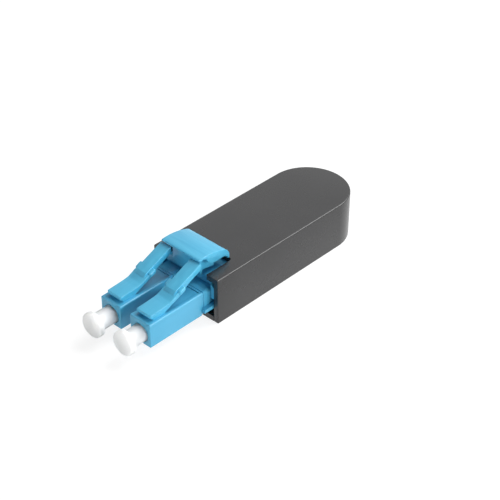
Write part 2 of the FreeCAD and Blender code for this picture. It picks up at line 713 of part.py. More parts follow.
    # Stop ring: a metal tube pressed into the rear body, with a collar behind it.
    ring = new_piece(f"stop_ring_{side}")
    turn(ring, "tube", [
        ("fibre_bore / 2", f"{BODY_REAR} - pocket_depth"),
        ("ring_width / 2", f"{BODY_REAR} - pocket_depth"),
        ("ring_width / 2", BODY_REAR),
        ("ring_flange / 2", BODY_REAR),
        ("ring_flange / 2", f"{BODY_REAR} + ring_flange_length"),
        ("ring_width / 2", f"{BODY_REAR} + ring_flange_length"),
        ("ring_width / 2", f"{BODY_REAR} + ring_length"),
        ("fibre_bore / 2", f"{BODY_REAR} + ring_length"),
    ])
    seat(ring)

    # Boot: a short soft sleeve over the stop ring that tapers down to the fibre.
    boot = new_piece(f"boot_{side}")
    BOOT_FRONT = f"({BODY_REAR} + ring_flange_length)"
    turn(boot, "sleeve", [
        ("ring_width / 2 + seat_gap", BOOT_FRONT),
        ("boot_width / 2", BOOT_FRONT),
        ("boot_width / 2", f"{BOOT_FRONT} + boot_grip"),
        ("boot_end_width / 2", f"{BOOT_FRONT} + boot_length"),
        ("fibre_bore / 2", f"{BOOT_FRONT} + boot_length"),
        ("fibre_bore / 2", f"{BODY_REAR} + ring_length + seat_gap"),
        ("ring_width / 2 + seat_gap", f"{BODY_REAR} + ring_length + seat_gap"),
    ])
    seat(boot)

    # Dust cap: a soft white plug with a round head, a neck in the nose's mouth and a
    # blind bore that slides on the ferrule. The left one is not pushed home.
    cap = new_piece(f"dust_cap_{side}")
    HEAD_FRONT = "(-nose_reach - cap_reach)"
    HEAD_REAR = "(-nose_reach - cap_reach + cap_head_length)"
    turn(cap, "plug", [
        ("0", HEAD_FRONT),
        ("cap_head / 2 - cap_bevel", HEAD_FRONT),
        ("cap_head / 2", f"{HEAD_FRONT} + cap_bevel"),
        ("cap_head / 2", f"{HEAD_REAR} - cap_bevel"),
        ("cap_head / 2 - cap_bevel", HEAD_REAR),
        ("cap_neck / 2", HEAD_REAR),
        ("cap_neck / 2", "-nose_reach + cap_insert"),
        ("cap_bore / 2", "-nose_reach + cap_insert"),
        ("cap_bore / 2", f"{FERRULE_TIP} - cap_end_gap"),
        ("0", f"{FERRULE_TIP} - cap_end_gap"),
    ])
    place(cap, x=centre, y=f"{MOUTH} - cap_out_{side}", z="axis_height")


connector("left", "-pitch / 2")
connector("right", "pitch / 2")

# Fibre: one buffered fibre from the left connector to the right one, drawn eight-sided.
# Each leg leaves its boot straight, sways outwards by two equal arcs, runs on beside the
# guide and goes half round the rear end.
SWAY = f"(({LOOP} - pitch / 2) / (2 * (1 - cos(sway_angle))))"
LEG_START = f"({SPIGOT_FRONT} + fibre_rest)"
SWAY_END = f"(straight_length - {LOOP})"
SWAY_START = f"({SWAY_END} - 2 * {SWAY} * sin(sway_angle))"


def leg(sign):
    """One leg's points from the connector to the straight run before the half turn."""
    near_x = f"{sign}(pitch / 2 + {SWAY} * (1 - cos(sway_angle / 2)))"
    mid_x = f"{sign}((pitch / 2 + {LOOP}) / 2)"
    far_x = f"{sign}({LOOP} - {SWAY} * (1 - cos(sway_angle / 2)))"
    return [
        (f"{sign}(pitch / 2)", LEG_START),
        (f"{sign}(pitch / 2)", SWAY_START),
        (near_x, f"{SWAY_START} + {SWAY} * sin(sway_angle / 2)", "bow"),
        (mid_x, f"{SWAY_START} + {SWAY} * sin(sway_angle)"),
        (far_x, f"{SWAY_END} - {SWAY} * sin(sway_angle / 2)", "bow"),
        (f"{sign}{LOOP}", SWAY_END),
        (f"{sign}{LOOP}", "straight_length"),
    ]


fibre = new_piece("fibre_loop")
turn_round = [("0", f"straight_length + {LOOP}", "bow")]
route = draw(fibre, "route", "XY_Plane", leg("-") + turn_round + leg("")[::-1], closed=False)
FLAT = "(fibre_width / 2 * tan(22.5))"
core = draw(fibre, "section", "XZ_Plane", [
    (f"-pitch / 2 - {FLAT}", "-fibre_width / 2"),
    (f"-pitch / 2 + {FLAT}", "-fibre_width / 2"),
    ("-pitch / 2 + fibre_width / 2", f"-{FLAT}"),
    ("-pitch / 2 + fibre_width / 2", FLAT),
    (f"-pitch / 2 + {FLAT}", "fibre_width / 2"),
    (f"-pitch / 2 - {FLAT}", "fibre_width / 2"),
    ("-pitch / 2 - fibre_width / 2", FLAT),
    ("-pitch / 2 - fibre_width / 2", f"-{FLAT}"),
], lift=f"-({LEG_START})")
pipe = fibre.newObject("PartDesign::AdditivePipe", "fibre_loop_pipe")
pipe.Profile = core
pipe.Spine = route
settle(pipe)
place(fibre, z="axis_height")

doc.recompute()
for item in doc.Objects:
    if "Invalid" in item.State or "Error" in item.State:
        raise RuntimeError(f"{item.Name} is {item.State}")
for piece in pieces:
    if piece.Shape.isNull() or not piece.Shape.isValid():
        raise RuntimeError(f"{piece.Label} has no valid shape")
    if len(piece.Shape.Solids) != 1:
        raise RuntimeError(f"{piece.Label} has {len(piece.Shape.Solids)} solids")

os.makedirs("parts", exist_ok=True)
for piece in pieces:
    piece.Shape.exportStep(f"parts/{piece.Label}.step")
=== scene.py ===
import bmesh
import bpy
import numpy as np
from mathutils import Matrix


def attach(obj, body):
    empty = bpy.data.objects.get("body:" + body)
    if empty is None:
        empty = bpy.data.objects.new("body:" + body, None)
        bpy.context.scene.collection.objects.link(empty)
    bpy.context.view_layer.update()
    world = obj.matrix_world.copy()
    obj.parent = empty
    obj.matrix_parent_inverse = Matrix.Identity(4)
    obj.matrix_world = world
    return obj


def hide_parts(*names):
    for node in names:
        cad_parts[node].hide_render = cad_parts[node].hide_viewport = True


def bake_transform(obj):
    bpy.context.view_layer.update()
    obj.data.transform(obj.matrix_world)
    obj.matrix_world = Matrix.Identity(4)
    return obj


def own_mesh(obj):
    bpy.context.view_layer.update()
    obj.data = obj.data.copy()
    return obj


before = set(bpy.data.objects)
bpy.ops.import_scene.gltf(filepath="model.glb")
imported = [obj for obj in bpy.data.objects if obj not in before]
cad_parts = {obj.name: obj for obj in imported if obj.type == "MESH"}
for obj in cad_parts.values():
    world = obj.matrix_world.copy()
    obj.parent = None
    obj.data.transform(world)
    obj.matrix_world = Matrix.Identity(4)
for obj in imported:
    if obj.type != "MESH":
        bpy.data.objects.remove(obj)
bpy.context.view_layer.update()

# The camera, the lamps and the table. The camera looks down on the plugs from the front
# right. A wide softbox stands behind, a lower one at the right and a weak one in front,
# and the white table ahead of the plugs is lit from below.
MOUTH = -9.15  # the mouth's y in the row's frame: other lengths are millimetres from it
CAMERA_ASIDE, CAMERA_UP, CAMERA_BACK = 9.70, 8.34, 209.2
view_turn, view_rise, view_roll = np.radians([43.03, 35.59, 0.38])
toward = np.array([np.sin(view_turn), -np.cos(view_turn), 0])
back = np.cos(view_rise) * toward + [0, 0, np.sin(view_rise)]
level = np.array([np.cos(view_turn), np.sin(view_turn), 0])
upright = np.cross(back, level)
right = np.cos(view_roll) * level + np.sin(view_roll) * upright
upward = np.cos(view_roll) * upright - np.sin(view_roll) * level


def standing(side, up, away, place):
    """The matrix of an object at place, in millimetres, whose x, y and z run along side,
    up and away."""
    columns = np.column_stack([side, up, away, np.array(place) / 1000])
    return Matrix(np.vstack([columns, [0, 0, 0, 1]]).tolist())


camera = bpy.data.objects.new("camera", bpy.data.cameras.new("camera"))
camera.data.sensor_width = 36
camera.data.lens = 98.78
camera.data.clip_start = 0.005
stand = CAMERA_ASIDE * right + CAMERA_UP * upward + CAMERA_BACK * back + [0, MOUTH, 0]
camera.matrix_world = standing(right, upward, back, stand)
bpy.context.scene.collection.objects.link(camera)
bpy.context.scene.camera = camera
bpy.context.scene.view_settings.view_transform = "Standard"


def softbox(name, place, width, height, watts):
    """A rectangular lamp at place, its face turned to the module, in millimetres."""
    lamp = bpy.data.lights.new(name, "AREA")
    lamp.shape = "RECTANGLE"
    lamp.size, lamp.size_y = width / 1000, height / 1000
    lamp.energy = watts
    holder = bpy.data.objects.new(name, lamp)
    away = np.array(place) / np.linalg.norm(place)
    side = np.cross([0.0, 0.0, 1.0], away)
    side /= np.linalg.norm(side)
    holder.matrix_world = standing(side, np.cross(away, side), away, place)
    bpy.context.scene.collection.objects.link(holder)


softbox("rear_softbox", (60, 225, 325), 300, 300, 1.75)
softbox("right_softbox", (360, 50, 150), 160, 120, 0.98)
softbox("front_softbox", (-20, -390, 60), 200, 100, 0.3)


def seen_or_mirrored(nodes):
    """A number that is 1 for a ray from the camera, off a mirror or through glass, else 0."""
    path = nodes.new("ShaderNodeLightPath")
    first, second = nodes.new("ShaderNodeMath"), nodes.new("ShaderNodeMath")
    for step in (first, second):
        step.operation = "MAXIMUM"
    links = nodes.id_data.links
    links.new(path.outputs["Is Camera Ray"], first.inputs[0])
    links.new(path.outputs["Is Glossy Ray"], first.inputs[1])
    links.new(first.outputs[0], second.inputs[0])
    links.new(path.outputs["Is Transmission Ray"], second.inputs[1])
    return second.outputs[0]


def studio_world(room_light=0.08):
    """White walls as the camera and the reflections see them, and dim walls otherwise."""
    world = bpy.data.worlds.new("studio")
    world.use_nodes = True
    nodes, links = world.node_tree.nodes, world.node_tree.links
    nodes.clear()
    walls, seen = nodes.new("ShaderNodeBackground"), nodes.new("ShaderNodeBackground")
    walls.inputs["Color"].default_value = (0.93, 0.97, 1.0, 1)
    walls.inputs["Strength"].default_value = room_light
    seen.inputs["Color"].default_value = (1, 1, 1, 1)
    seen.inputs["Strength"].default_value = 1.0
    choice, out = nodes.new("ShaderNodeMixShader"), nodes.new("ShaderNodeOutputWorld")
    links.new(seen_or_mirrored(nodes), choice.inputs["Fac"])
    links.new(walls.outputs[0], choice.inputs[1])
    links.new(seen.outputs[0], choice.inputs[2])
    links.new(choice.outputs[0], out.inputs["Surface"])
    return world


def table_paper(glow_share=0.7, glow=1.2, panel=1.25, panel_from=-34, panel_full=-42):
    """White paper that takes shadows. What the camera and the reflections see is mixed
    with a plain white glow by glow_share. Other rays find an even light in the table
    that comes in from y = panel_from to panel_full, in millimetres."""
    paper = bpy.data.materials.new("white_table")
    paper.use_nodes = True
    nodes, links = paper.node_tree.nodes, paper.node_tree.links
    nodes.clear()
    seen = seen_or_mirrored(nodes)
    place, axes = nodes.new("ShaderNodeTexCoord"), nodes.new("ShaderNodeSeparateXYZ")
    ahead, unseen = nodes.new("ShaderNodeMapRange"), nodes.new("ShaderNodeMapRange")
    ahead.inputs["From Min"].default_value = panel_from / 1000
    ahead.inputs["From Max"].default_value = panel_full / 1000
    unseen.inputs["To Min"].default_value = panel
    unseen.inputs["To Max"].default_value = 0.0
    links.new(place.outputs["Object"], axes.inputs["Vector"])
    links.new(axes.outputs["Y"], ahead.inputs["Value"])
    links.new(seen, unseen.inputs["Value"])
    strength, share = nodes.new("ShaderNodeMath"), nodes.new("ShaderNodeMath")
    strength.operation = share.operation = "MULTIPLY"
    links.new(ahead.outputs["Result"], strength.inputs[0])
    links.new(unseen.outputs["Result"], strength.inputs[1])
    links.new(seen, share.inputs[0])
    share.inputs[1].default_value = glow_share
    sheet, white_glow = nodes.new("ShaderNodeBsdfDiffuse"), nodes.new("ShaderNodeEmission")
    sheet.inputs["Color"].default_value = (0.8, 0.8, 0.8, 1)
    white_glow.inputs["Strength"].default_value = glow
    under, lit = nodes.new("ShaderNodeEmission"), nodes.new("ShaderNodeAddShader")
    links.new(strength.outputs[0], under.inputs["Strength"])
    links.new(sheet.outputs[0], lit.inputs[0])
    links.new(under.outputs[0], lit.inputs[1])
    both, out = nodes.new("ShaderNodeMixShader"), nodes.new("ShaderNodeOutputMaterial")
    links.new(share.outputs[0], both.inputs["Fac"])
    links.new(lit.outputs[0], both.inputs[1])
    links.new(white_glow.outputs[0], both.inputs[2])
    links.new(both.outputs[0], out.inputs["Surface"])
    return paper


bpy.context.scene.world = studio_world()
TABLE_HALF, TABLE_TOP = 0.45, -0.00002
floor = bpy.data.meshes.new("table")
corners = [(-TABLE_HALF, -TABLE_HALF), (TABLE_HALF, -TABLE_HALF),
           (TABLE_HALF, TABLE_HALF), (-TABLE_HALF, TABLE_HALF)]
floor.from_pydata([(*corner, TABLE_TOP) for corner in corners], [], [(0, 1, 2, 3)])
floor.materials.append(table_paper())
table = bpy.data.objects.new("table", floor)
bpy.context.scene.collection.objects.link(table)


# The housing shell: one black moulding with side walls, a roof and a half-round rear end,
# open underneath and at the mouth. The front edge of its roof has a notch for the trigger.
# Its surface has the fine even grain of a spark-eroded mould.
SHELL_HALF, SHELL_TOP, SHELL_STRAIGHT, WALL, MOUTH_EDGE = 6.8, 7.95, 27.8, 0.9, 0.09
NOTCH_HALF, NOTCH_DEPTH, NOTCH_ROUND = 4.4, 5.5, 0.5
DOUBLED, TOO_SHORT = 2e-7, 1e-7  # metres: points this near are one, edges this short go


def skin(loops, ends="flat"):
    """Faces over a stack of closed loops, an array (loop, point, xyz): each face joins
    points j and j+1 of loops k and k+1, and the last point leads back to the first. The
    ends are closed by flat faces, left open, or joined to each other."""
    stack, around = loops.shape[:2]
    index = np.arange(stack * around).reshape(stack, around)
    above = np.roll(index, -1, axis=0) if ends == "joined" else index[1:]
    below = index if ends == "joined" else index[:-1]
    quads = np.stack([below, np.roll(below, -1, axis=1), np.roll(above, -1, axis=1), above], axis=-1)
    faces = quads.reshape(-1, 4).tolist()
    if ends == "flat":
        faces += [index[0, ::-1].tolist(), index[-1].tolist()]
    return loops.reshape(-1, 3), faces


def make_piece(name, skins, finish, body, *nodes, sharp=32):
    """One object from several skins, millimetres from the mouth turned to metres in the
    row's frame. Doubled points are merged, faces turned outwards, and edges sharper than
    the given degrees stay sharp. A piece that bends between two bodies gives no body."""
    counts = np.cumsum([0] + [len(points) for points, _ in skins])
    points = np.concatenate([points for points, _ in skins]) + [0, MOUTH, 0]
    faces = []
    for (_, part), start in zip(skins, counts):
        faces += [[corner + start for corner in face] for face in part]
    mesh = bpy.data.meshes.new(name)
    mesh.from_pydata((points / 1000).tolist(), [], faces)
    shape = bmesh.new()
    shape.from_mesh(mesh)
    bmesh.ops.remove_doubles(shape, verts=shape.verts, dist=DOUBLED)
    bmesh.ops.dissolve_degenerate(shape, edges=shape.edges, dist=TOO_SHORT)
    bmesh.ops.recalc_face_normals(shape, faces=shape.faces)
    shape.to_mesh(mesh)
    shape.free()
    mesh.shade_smooth()
    mesh.set_sharp_from_angle(angle=np.radians(sharp))
    mesh.materials.append(finish)
    piece = bpy.data.objects.new(name, mesh)
    bpy.context.scene.collection.objects.link(piece)
    if body:
        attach(piece, body)
    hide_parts(*nodes)
    return piece


def softened(corners, radius, steps=7):
    """A closed outline whose corners are rounded. Each corner gives way to an arc tangent
    to both its sides, swept as a turn from one side's normal to the other's, and a side
    too short for two arcs makes them smaller."""
    corners = np.asarray(corners, float)
    radius = np.broadcast_to(np.asarray(radius, float), len(corners)).copy()
    before, after = np.roll(corners, 1, axis=0) - corners, np.roll(corners, -1, axis=0) - corners
    before_length, after_length = np.linalg.norm(before, axis=1), np.linalg.norm(after, axis=1)
    before, after = before / before_length[:, None], after / after_length[:, None]
    half = np.arccos(np.clip((before * after).sum(axis=1), -1, 1)) / 2
    straight = half > np.radians(89.5)  # it turns by less than a degree and stays a point
    half = np.where(straight, np.radians(45), half)
    cut = np.minimum(radius / np.tan(half), 0.48 * np.minimum(before_length, after_length))
    radius = cut * np.tan(half)
    middle = before + after
    middle /= np.maximum(np.linalg.norm(middle, axis=1), 1e-9)[:, None]
    centre = corners + middle * (radius / np.sin(half))[:, None]
    first, last = corners + before * cut[:, None] - centre, corners + after * cut[:, None] - centre
    share = np.linspace(0, 1, steps)[None, :, None]
    turn = (np.pi - 2 * half)[:, None, None]
    swept = np.sin((1 - share) * turn) * first[:, None] + np.sin(share * turn) * last[:, None]
    arcs = centre[:, None] + swept / np.sin(turn)
    arcs = np.where(straight[:, None, None], corners[:, None] + 0 * share, arcs)
    return arcs.reshape(-1, 2)


def softened_line(corners, radius, steps):
    """The same for corners whose first and last are sharp: each of the two is one point."""
    return softened(corners, radius, steps)[steps - 1:1 - steps]


def plastic(name, colour, shade, roughness, grain, depth, coat=0.0, flow=(1, 1, 1)):
    """Moulded plastic: a fine grain in the surface from fast noise, and a slow drift of
    the colour between two near shades and of the gloss. The drift is drawn out into
    faint lines where flow is larger across them than along."""
    finish = bpy.data.materials.new(name)
    finish.use_nodes = True
    nodes, links = finish.node_tree.nodes, finish.node_tree.links
    shader = nodes["Principled BSDF"]
    place = nodes.new("ShaderNodeTexCoord")
    drift, fine = nodes.new("ShaderNodeTexNoise"), nodes.new("ShaderNodeTexNoise")
    drift.inputs["Scale"].default_value = 160
    drift.inputs["Detail"].default_value = 3
    fine.inputs["Scale"].default_value = grain
    fine.inputs["Detail"].default_value = 2
    drawn = nodes.new("ShaderNodeMapping")
    drawn.inputs["Scale"].default_value = flow
    links.new(place.outputs["Object"], drawn.inputs["Vector"])
    links.new(drawn.outputs["Vector"], drift.inputs["Vector"])
    links.new(place.outputs["Object"], fine.inputs["Vector"])
    tint = nodes.new("ShaderNodeValToRGB")
    tint.color_ramp.elements[0].position, tint.color_ramp.elements[1].position = 0.3, 0.7
    tint.color_ramp.elements[0].color = (*shade, 1)
    tint.color_ramp.elements[1].color = (*colour, 1)
    links.new(drift.outputs["Fac"], tint.inputs["Fac"])
    links.new(tint.outputs["Color"], shader.inputs["Base Color"])
    gloss = nodes.new("ShaderNodeMapRange")
    gloss.inputs["To Min"].default_value = roughness - 0.04
    gloss.inputs["To Max"].default_value = roughness + 0.04
    links.new(drift.outputs["Fac"], gloss.inputs["Value"])
    links.new(gloss.outputs["Result"], shader.inputs["Roughness"])
    relief = nodes.new("ShaderNodeBump")
    relief.inputs["Distance"].default_value = depth / 1000
    relief.inputs["Strength"].default_value = 0.5
    links.new(fine.outputs["Fac"], relief.inputs["Height"])
    links.new(relief.outputs["Normal"], shader.inputs["Normal"])
    shader.inputs["Coat Weight"].default_value = coat
    shader.inputs["Coat Roughness"].default_value = 0.25
    shader.inputs["IOR"].default_value = 1.55
    return finish


def shell_section(top_round=0.2, foot_round=0.1, inner_round=0.25):
    """The wall's outline across the housing as (distance from the middle, height), from
    the roof's middle over the top edge, down the wall and up the inside to the ceiling.
    Its first and last points are the roof's inner ends."""
    inside = SHELL_HALF - WALL
    ceiling = SHELL_TOP - WALL
    corners = [(0, SHELL_TOP), (SHELL_HALF, SHELL_TOP), (SHELL_HALF, 0), (inside, 0), (inside, ceiling),
               (0, ceiling)]
    return softened_line(corners, [0, top_round, foot_round, foot_round, inner_round, 0], steps=8)


def shell_stations(steps=96):
    """Where the section stands: y of the middle line, the direction (x, y) across, how far
    the roof's inner end is from the middle, and how much the section is shrunk to round the
    mouth's edge. Along the straight the direction is +X, then it swings half round, then
    it is -X. The notch's corner is a quarter circle, and behind it the roof closes."""
    edge_turn, notch_turn = np.linspace(np.pi / 2, 0, 5), np.linspace(np.pi / 2, 0, 9)
    edge_y, edge_shrink = MOUTH_EDGE * (1 - np.sin(edge_turn)), MOUTH_EDGE * (1 - np.cos(edge_turn))
    notch_y = NOTCH_DEPTH - NOTCH_ROUND + NOTCH_ROUND * np.cos(notch_turn)
    notch_inner = NOTCH_HALF - NOTCH_ROUND + NOTCH_ROUND * np.sin(notch_turn)
    side_y = np.concatenate([edge_y, notch_y, [NOTCH_DEPTH, SHELL_STRAIGHT]])
    side_inner = np.concatenate([np.full(len(edge_y), NOTCH_HALF), notch_inner, [0, 0]])
    side_shrink = np.concatenate([edge_shrink, np.zeros(len(side_y) - len(edge_shrink))])
    side_across = np.tile([1.0, 0.0], (len(side_y), 1))
    around = np.linspace(0, np.pi, steps + 1)[1:-1]
    bend_across = np.stack([np.cos(around), np.sin(around)], axis=1)
    none = np.zeros(len(around))
    y = np.concatenate([side_y, none + SHELL_STRAIGHT, side_y[::-1]])
    across = np.concatenate([side_across, bend_across, -side_across])
    inner = np.concatenate([side_inner, none, side_inner[::-1]])
    shrink = np.concatenate([side_shrink, none, side_shrink[::-1]])
    return y, across, inner, shrink


def outward(outline):
    """Unit normals of a closed outline that runs clockwise or anticlockwise: the step from
    the point before to the point after, turned a quarter, away from the inside."""
    step = np.roll(outline, -1, axis=0) - np.roll(outline, 1, axis=0)
    step /= np.maximum(np.linalg.norm(step, axis=1), 1e-9)[:, None]
    ahead = np.roll(outline, -1, axis=0)
    turning = np.sign((outline[:, 0] * ahead[:, 1] - ahead[:, 0] * outline[:, 1]).sum())
    return turning * np.stack([step[:, 1], -step[:, 0]], axis=1)


def shell_surface():
    """Every point is middle + across * distance, at the section's height. The section's
    inner ends move out to the notch where there is one."""
    section = shell_section()
    y, across, inner, shrink = shell_stations()
    distance = section[None, :, 0] - shrink[:, None] * outward(section)[None, :, 0]
    height = section[None, :, 1] - shrink[:, None] * outward(section)[None, :, 1]
    distance[:, 0] = distance[:, -1] = inner + shrink
    height[:, 0], height[:, -1] = SHELL_TOP - shrink, SHELL_TOP - WALL + shrink
    points = np.empty((*distance.shape, 3))
    points[..., 0] = across[:, None, 0] * distance
    points[..., 1] = y[:, None] + across[:, None, 1] * distance
    points[..., 2] = height
    return skin(points)


black = plastic("black_housing", (0.020, 0.020, 0.021), (0.018, 0.018, 0.019), 0.27, 9000, 0.004)
make_piece("shell", [shell_surface()], black, "module", "housing_shell")


# The base plate: a flat black moulding that closes the shell's underside. Inside it has
# two saddles under the clip and a half-round guide that keeps the fibre out at its bend.
PLATE_HALF, PLATE_THICK, GUIDE_TOP = 5.85, 0.9, 5.1
SADDLE_HALF, SADDLE_TOP, SADDLES = 5.3, 1.28, ((1.2, 3.15), (5.15, 7.1))
SUNK_IN = 0.1  # how far the saddles and the guide reach into the plate


def slab(outline, low, high, edge, order, steps=5):
    """A closed outline carried from low to high. Near each end it shrinks along its own
    normals by edge * (1 - cos a) while it is edge * (1 - sin a) from the end, a from 90
    degrees to 0, which rounds the rim. The order says which of x, y, z the outline's two
    numbers and the way it is carried are."""
    angle = np.linspace(np.pi / 2, 0, steps)
    shrink = np.concatenate([edge * (1 - np.cos(angle)), edge * (1 - np.cos(angle[::-1]))])
    along = np.concatenate([low + edge * (1 - np.sin(angle)), high - edge * (1 - np.sin(angle[::-1]))])
    flat = outline[None] - shrink[:, None, None] * outward(outline)[None]
    points = np.empty((len(along), len(outline), 3))
    points[..., "xyz".index(order[0])] = flat[..., 0]
    points[..., "xyz".index(order[1])] = flat[..., 1]
    points[..., "xyz".index(order[2])] = along[:, None]
    return skin(points)


def plate_outline(steps=72):
    """A flat outline (x, y): square at the front, half round behind the straight length."""
    angle = np.linspace(0, np.pi, steps)
    bend = np.stack([PLATE_HALF * np.cos(angle), SHELL_STRAIGHT + PLATE_HALF * np.sin(angle)], axis=1)
    return np.concatenate([[(-PLATE_HALF, 0), (PLATE_HALF, 0)], bend])


def guide_outline(radius=4.65, thick=0.8, back_to=22.6, steps=48):
    """The guide's outline (x, y): a half ring with straight legs."""
    angle = np.linspace(0, np.pi, steps)
    ring = np.stack([np.cos(angle), np.sin(angle)], axis=1)
    inside = radius - thick
    outer = [(radius, back_to), *([0, SHELL_STRAIGHT] + radius * ring), (-radius, back_to)]
    inner = [(-inside, back_to), *([0, SHELL_STRAIGHT] + inside * ring[::-1]), (inside, back_to)]
    return np.array(outer + inner)


def saddle_outline(front, rear):
    """The saddle's outline (x, y): a rectangle with softened corners."""
    corners = [(-SADDLE_HALF, front), (SADDLE_HALF, front), (SADDLE_HALF, rear), (-SADDLE_HALF, rear)]
    return softened(corners, 0.08)


plate_parts = [
    slab(plate_outline(), 0, PLATE_THICK, 0.06, "xyz"),
    slab(guide_outline(), PLATE_THICK - SUNK_IN, GUIDE_TOP, 0.05, "xyz"),
]
for front, rear in SADDLES:
    plate_parts.append(slab(saddle_outline(front, rear), PLATE_THICK - SUNK_IN, SADDLE_TOP, 0.05, "xyz"))
make_piece("underside_plate", plate_parts, black, "module", "base_plate")


# The rear bodies: blue square mouldings that snap into the clip by their bevelled rear
# part. The collar in front is as wide as the nose, and a fine groove runs round it.
PITCH_HALF, AXIS, MIDDLE = 3.125, 3.49, 3.75
SIDES = (("left", -PITCH_HALF), ("right", PITCH_HALF))
# Each step's half width, bevel, front, rear and edge: the rim, the groove, the collar and
# the part in the clip.
REAR_BODY_STEPS = ((2.0, 0.2, -1.8, -1.5, 0.05), (1.9, 0.2, -1.55, -1.3, 0.02),
                   (2.0, 0.2, -1.35, -0.65, 0.05), (1.95, 0.45, -0.7, 6.5, 0.05))
SPIGOT_RADIUS, SPIGOT_FRONT, SPIGOT_REAR = 1.45, -3.4, -1.75


def bevelled_square(half, centre, bevel):
    """A square with bevelled corners, (x, z), of the given half width."""
    flat = half - bevel
    corners = [(-flat, -half), (flat, -half), (half, -flat), (half, flat),
               (flat, half), (-flat, half), (-half, flat), (-half, -flat)]
    return softened(corners, 0.1) + [centre, MIDDLE]


def turned(profile, centre, ends="open", around=72):
    """A profile of (radius, y) swung round the plug's axis: x = centre + radius * cos t,
    z = AXIS + radius * sin t."""
    angle = np.linspace(0, 2 * np.pi, around, endpoint=False)
    points = np.empty((len(profile), around, 3))
    points[..., 0] = centre + profile[:, None, 0] * np.cos(angle)
    points[..., 1] = profile[:, None, 1]
    points[..., 2] = AXIS + profile[:, None, 0] * np.sin(angle)
    return skin(points, ends)


# This blue is the latch blue made darker. It is painted shade on the rear bodies, noses and clip, which stand
# more in shadow.
blue = plastic("blue_plug_plastic_painted_shade", (0.072, 0.405, 0.63), (0.060, 0.375, 0.60), 0.32, 7000, 0.006)
for side, centre in SIDES:
    spigot = np.array([(0, SPIGOT_FRONT), (SPIGOT_RADIUS, SPIGOT_FRONT),
                       (SPIGOT_RADIUS, SPIGOT_REAR), (0, SPIGOT_REAR)])
    skins = [slab(bevelled_square(half, centre, bevel), front, rear, edge, "xzy")
             for half, bevel, front, rear, edge in REAR_BODY_STEPS]
    skins.append(turned(spigot, centre))
    make_piece(f"rear_body_{side}_moulding", skins, blue, "module", f"rear_body_{side}")


# The noses: blue square tubes, 4.2 mm across, that go into the adapter. The front has a
# round mouth for the cap's neck, and behind the latch's root the top is sunk a little so
# that the latch can come down.
NOSE_HALF, NOSE_HIGH, NOSE_FRONT, NOSE_REAR = 2.1, 2.05, -12.3, -1.9
NOSE_CORNER, NOSE_RIM, REAR_RIM = 0.2, 0.14, 0.05
CHANNEL_HALF, CHANNEL_DEEP, HINGE_Y = 1.55, 0.2, -8.35
NOSE_BORE = ((1.58, NOSE_FRONT), (1.52, -12.27), (1.5, -12.2), (1.5, -9.7),
             (0.8, -9.7), (0.8, -8.7), (1.5, -8.7), (1.5, NOSE_REAR))


def nose_outline(sunk):
    """The square with softened corners, and its top sunk between the channel's sides. The
    channel's corners stay sharp, and it is never quite flat, so that no side is lost."""
    top, sharp = NOSE_HIGH - max(sunk, 0.001), 0.0005
    corners = [(-NOSE_HALF, -NOSE_HIGH), (NOSE_HALF, -NOSE_HIGH), (NOSE_HALF, NOSE_HIGH),
               (CHANNEL_HALF, NOSE_HIGH), (CHANNEL_HALF, top), (-CHANNEL_HALF, top),
               (-CHANNEL_HALF, NOSE_HIGH), (-NOSE_HALF, NOSE_HIGH)]
    return softened(corners, [NOSE_CORNER] * 3 + [sharp] * 4 + [NOSE_CORNER], steps=9)


def divided(outline, like, longest=0.15):
    """The outline with points added at even shares of its sides, as many on each as the
    same side of the like outline needs to have none longer than given."""
    spans = np.linalg.norm(np.roll(like, -1, axis=0) - like, axis=1)
    parts = np.maximum(1, np.ceil(spans / longest)).astype(int)
    side = np.repeat(np.arange(len(like)), parts)
    share = (np.arange(parts.sum()) - np.repeat(np.cumsum(parts) - parts, parts)) / np.repeat(parts, parts)
    return outline[side] + share[:, None] * (np.roll(outline, -1, axis=0)[side] - outline[side])


def upright_loop(outline, y):
    """An outline (x, z) standing at y."""
    return np.column_stack([outline[:, 0], np.full(len(outline), y), outline[:, 1]])


def nose_surface(centre):
    """Loops round the axis, each a share of the square and of a circle at the same polar
    angle: along the outside to the rounded front rim, across the face to the circle of
    the mouth, down the stepped bore to the rear and back out to the square."""
    square = nose_outline(0)
    plain, sunk = divided(square, square), divided(nose_outline(CHANNEL_DEEP), square)
    outside = [(sunk, NOSE_REAR + REAR_RIM), (sunk, HINGE_Y),
               (plain, HINGE_Y), (plain, NOSE_FRONT + NOSE_RIM)]
    loops = [upright_loop(outline, y) for outline, y in outside]
    for angle in np.linspace(0, np.pi / 2, 6):
        shrunk = plain - NOSE_RIM * (1 - np.cos(angle)) * outward(plain)
        loops.append(upright_loop(shrunk, NOSE_FRONT + NOSE_RIM * (1 - np.sin(angle))))
    polar = np.arctan2(plain[:, 1] + MIDDLE - AXIS, plain[:, 0])
    circle = np.column_stack([np.cos(polar), np.sin(polar)])
    loops += [upright_loop(radius * circle + [0, AXIS - MIDDLE], y) for radius, y in NOSE_BORE]
    loops.append(upright_loop(sunk - REAR_RIM * outward(sunk), NOSE_REAR))
    return skin(np.array(loops) + [centre, 0, MIDDLE], "joined")


# The noses take the darkened plug blue, so part of their shade is painted.
for side, centre in SIDES:
    make_piece(f"nose_{side}", [nose_surface(centre)], blue, "module", f"front_housing_{side}")


